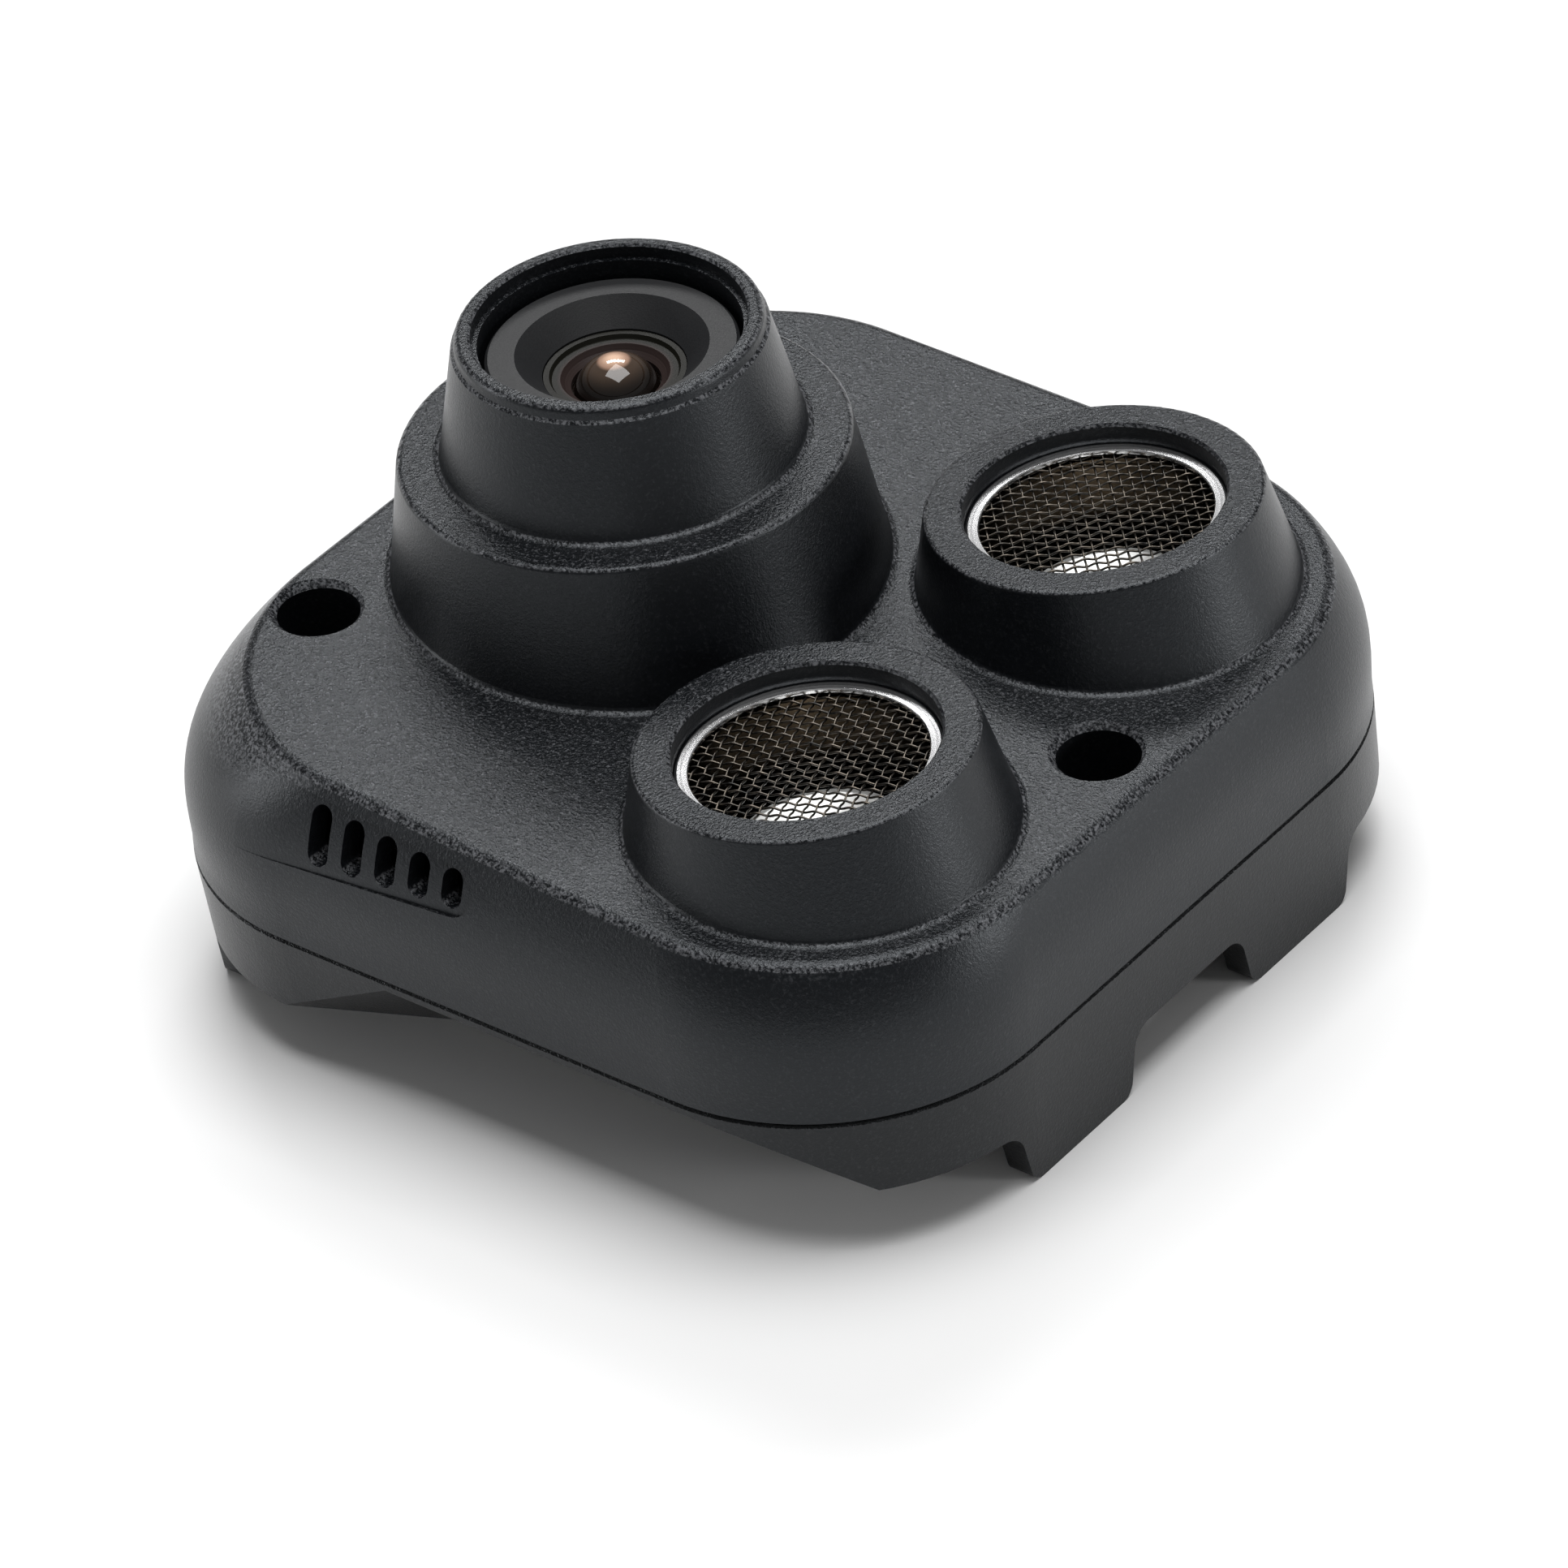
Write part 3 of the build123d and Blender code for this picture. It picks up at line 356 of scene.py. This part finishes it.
MATERIALS = {
    "upper_housing": moulded_plastic("moulded_upper"),
    "lower_housing": moulded_plastic("moulded_lower", (0.0064, 0.0064, 0.0066), 0.0008),
    "black_metal": satin(
        "black_anodised", (0.009, 0.0095, 0.0105), (0.016, 0.0165, 0.018), 0.5, 9000, 0.008),
    "inner_ring": satin(
        "inner_ring_black", (0.004, 0.004, 0.0025), (0.010, 0.0095, 0.006), 0.36, 9000, 0.004),
    "dark_plastic": satin("holder_black", (0.012, 0.012, 0.012), (0.022, 0.022, 0.022), 0.5),
    "pale_plastic": satin("socket_ivory", (0.42, 0.40, 0.34), (0.56, 0.53, 0.46), 0.45),
    "rubber": satin("seal_rubber_black", (0.008, 0.008, 0.008), (0.018, 0.018, 0.018), 0.75, 5000, 0.02),
    "board": satin("board_mask", (0.004, 0.045, 0.022), (0.010, 0.085, 0.040), 0.3, 3000, 0.006),
    "chip": satin("chip_epoxy", (0.010, 0.010, 0.011), (0.022, 0.022, 0.023), 0.55, 9000, 0.01),
    "ceramic": satin("ceramic_tan", (0.36, 0.25, 0.15), (0.52, 0.40, 0.27), 0.5, 6000, 0.01),
    "steel": satin("plated_steel", (0.38, 0.38, 0.38), (0.58, 0.58, 0.57), 0.28, 6000, 0.004, 1.0),
    "film": satin("cable_film", (0.42, 0.20, 0.05), (0.55, 0.29, 0.09), 0.3, 2000, 0.004),
    "brass": satin("contact_gold", (0.70, 0.50, 0.18), (0.85, 0.66, 0.30), 0.24, 6000, 0.003, 1.0),
    "cone": satin("cone_bright", (0.86, 0.86, 0.84), (0.95, 0.95, 0.94), 0.42, 2500, 0.01, 0.75),
    "plate": satin("plate_grey", (0.60, 0.60, 0.60), (0.75, 0.75, 0.74), 0.35, 3000, 0.005, 1.0),
    "front_glass": lens_glass(),
    "retainer": retainer_black(),
    "inner_glass": coated_glass("inner_glass", (0.90, 0.80, 0.70), (1.0, 0.85, 0.7)),
    "filter": coated_glass("filter_glass", (0.95, 0.70, 0.68), (1.0, 0.8, 0.8)),
    "wire": wire_metal(),
}
for side_name, side_frame in SONAR_FRAMES.items():
    MATERIALS["can_" + side_name] = can_metal("can_turned_" + side_name, side_frame)

FINISH = {
    "upper_housing": "upper_housing", "lower_housing": "lower_housing",
    "lens_barrel": "black_metal", "lens_retainer": "retainer", "lens_spacer": "inner_ring",
    "rear_spacer": "inner_ring", "lens_lock_ring": "black_metal", "lens_seal": "rubber",
    "front_lens": "front_glass", "middle_lens": "inner_glass", "rear_lens": "inner_glass",
    "infrared_filter": "filter", "lens_holder": "dark_plastic", "image_sensor": "chip",
    "camera_board": "board", "main_board": "board", "camera_board_screws": "steel",
    "board_screws": "steel", "housing_screws": "steel", "camera_flex": "film",
    "flex_sockets": "pale_plastic", "interface_socket": "pale_plastic", "interface_pins": "brass",
    "processor_chip": "chip", "sonar_driver_chips": "chip", "crystal_can": "steel",
    "capacitors": "ceramic",
}
TRANSDUCER_FINISH = {
    "mesh_screen_": "wire", "resonator_cone_": "cone", "vibrating_plate_": "plate",
    "piezo_disc_": "ceramic", "transducer_base_": "dark_plastic", "transducer_pins_": "brass",
    "rubber_sleeve_": "rubber",
}
for side_name in SONAR_FRAMES:
    FINISH["transducer_can_" + side_name] = "can_" + side_name
    for node, finish in TRANSDUCER_FINISH.items():
        FINISH[node + side_name] = finish


def dress(obj, finish):
    """One material on a whole mesh."""
    obj.data.materials.clear()
    obj.data.materials.append(MATERIALS[finish])


for node_name, node_object in NODES.items():
    dress(node_object, FINISH[node_name])


# ------------------------------------------------------------------ woven wire

def tube_mesh(paths, radius):
    """Vertices and faces of round tubes along paths of points."""
    verts, faces = [], []
    turn = np.linspace(0, 2 * math.pi, WIRE_SIDES, endpoint=False)
    for path in paths:
        points = np.asarray(path)
        tangent = np.gradient(points, axis=0)
        tangent /= np.linalg.norm(tangent, axis=1)[:, None]
        side = np.cross(tangent, (0.0, 0.0, 1.0))
        side /= np.linalg.norm(side, axis=1)[:, None]
        up = np.cross(side, tangent)
        start = len(verts)
        for point, s, u in zip(points, side, up):
            for angle in turn:
                verts.append(point + radius * (math.cos(angle) * s + math.sin(angle) * u))
        for i in range(len(points) - 1):
            ring = start + i * WIRE_SIDES
            for k in range(WIRE_SIDES):
                a, b = ring + k, ring + (k + 1) % WIRE_SIDES
                faces.append((a, b, b + WIRE_SIDES, a + WIRE_SIDES))
        faces.append(tuple(start + k for k in reversed(range(WIRE_SIDES))))
        last = start + (len(points) - 1) * WIRE_SIDES
        faces.append(tuple(last + k for k in range(WIRE_SIDES)))
    return verts, faces


def weave_paths(radius, pitch, wire_r, rng):
    """Centre lines of a plain weave that fills a disc, flat in XY."""
    paths = []
    count = int(radius / pitch)
    for direction in (0, 1):
        for index in range(-count, count + 1):
            offset = index * pitch
            reach = math.sqrt(max(0.0, radius ** 2 - offset ** 2))
            if reach < pitch:
                continue
            drift, phase = rng.uniform(-WIRE_DRIFT, WIRE_DRIFT) * pitch, rng.uniform(0, 6.28)
            sign = (-1) ** (index + direction)
            steps = max(8, int(2 * reach / pitch * STEPS_PER_PITCH))
            path = []
            for k in range(steps + 1):
                s = -reach + 2 * reach * k / steps
                wave = sign * wire_r * math.cos(math.pi * s / pitch)
                sway = offset + drift * math.sin(s / (3 * pitch) + phase)
                path.append((s, sway, wave) if direction == 0 else (sway, s, wave))
            paths.append(path)
    return paths


def woven_screen(side):
    """Wire cloth clamped in a transducer, in place of the CAD model's plain disc."""
    rng = random.Random(WEAVE_SEED[side])
    paths = weave_paths(SCREEN_R * MM, WEAVE_PITCH * MM, WIRE_R * MM, rng)
    verts, faces = tube_mesh(paths, WIRE_R * MM)
    mesh = bpy.data.meshes.new("wire_cloth_" + side)
    mesh.from_pydata([tuple(v) for v in verts], [], faces)
    mesh.shade_smooth()
    obj = bpy.data.objects.new("wire_cloth_" + side, mesh)
    bpy.context.scene.collection.objects.link(obj)
    spin = Matrix.Rotation(math.radians(WEAVE_TURN[side]), 4, "Z")
    obj.data.transform(SONAR_FRAMES[side] @ Matrix.Translation((0, 0, SCREEN_H * MM)) @ spin)
    dress(obj, "wire")
    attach(obj, "housing")
    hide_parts("mesh_screen_" + side)


woven_screen("left")
woven_screen("right")


# ------------------------------------------------------------------ stage, light and camera

def floor():
    """Pale matt floor on the plane under the tabs."""
    bpy.ops.mesh.primitive_plane_add(size=FLOOR_SIZE, location=(0, 0, 0))
    plane = bpy.context.object
    plane.name = "studio_floor"
    m = Mat("pale_floor")
    tone = m.noise(6, 3.0, 0.5)
    m.put(Base_Color=m.mix(tone, (0.86, 0.86, 0.86), (0.90, 0.90, 0.90)), Roughness=0.9)
    plane.data.materials.append(m.material)


def softbox(name, place, size, watts):
    """Rectangular area light that looks at the module."""
    data = bpy.data.lights.new(name, "AREA")
    data.shape = "RECTANGLE"
    data.size, data.size_y = size
    data.energy = watts
    lamp = bpy.data.objects.new(name, data)
    lamp.location = place
    lamp.rotation_mode = "QUATERNION"
    lamp.rotation_quaternion = (Vector(LIGHT_TARGET) - Vector(place)).to_track_quat("-Z", "Y")
    bpy.context.scene.collection.objects.link(lamp)


def studio():
    """Even pale surroundings and four softboxes."""
    world = bpy.data.worlds.new("studio_world")
    world.use_nodes = True
    back = world.node_tree.nodes["Background"]
    back.inputs[0].default_value = (1, 1, 1, 1)
    back.inputs[1].default_value = WORLD_LIGHT
    bpy.context.scene.world = world
    for name, (place, size, watts) in SOFTBOXES.items():
        softbox(name, place, size, watts)


def camera():
    """Long lens at the photograph's angle."""
    data = bpy.data.cameras.new("photo_camera")
    data.lens = LENS_LENGTH
    data.sensor_width = SENSOR_WIDTH
    data.clip_start, data.clip_end = 0.02, 20
    obj = bpy.data.objects.new("photo_camera", data)
    obj.location = CAMERA_PLACE
    obj.rotation_mode = "QUATERNION"
    obj.rotation_quaternion = Quaternion(CAMERA_TURN)
    bpy.context.scene.collection.objects.link(obj)
    bpy.context.scene.camera = obj


floor()
studio()
camera()
bpy.context.scene.view_settings.view_transform = "Standard"
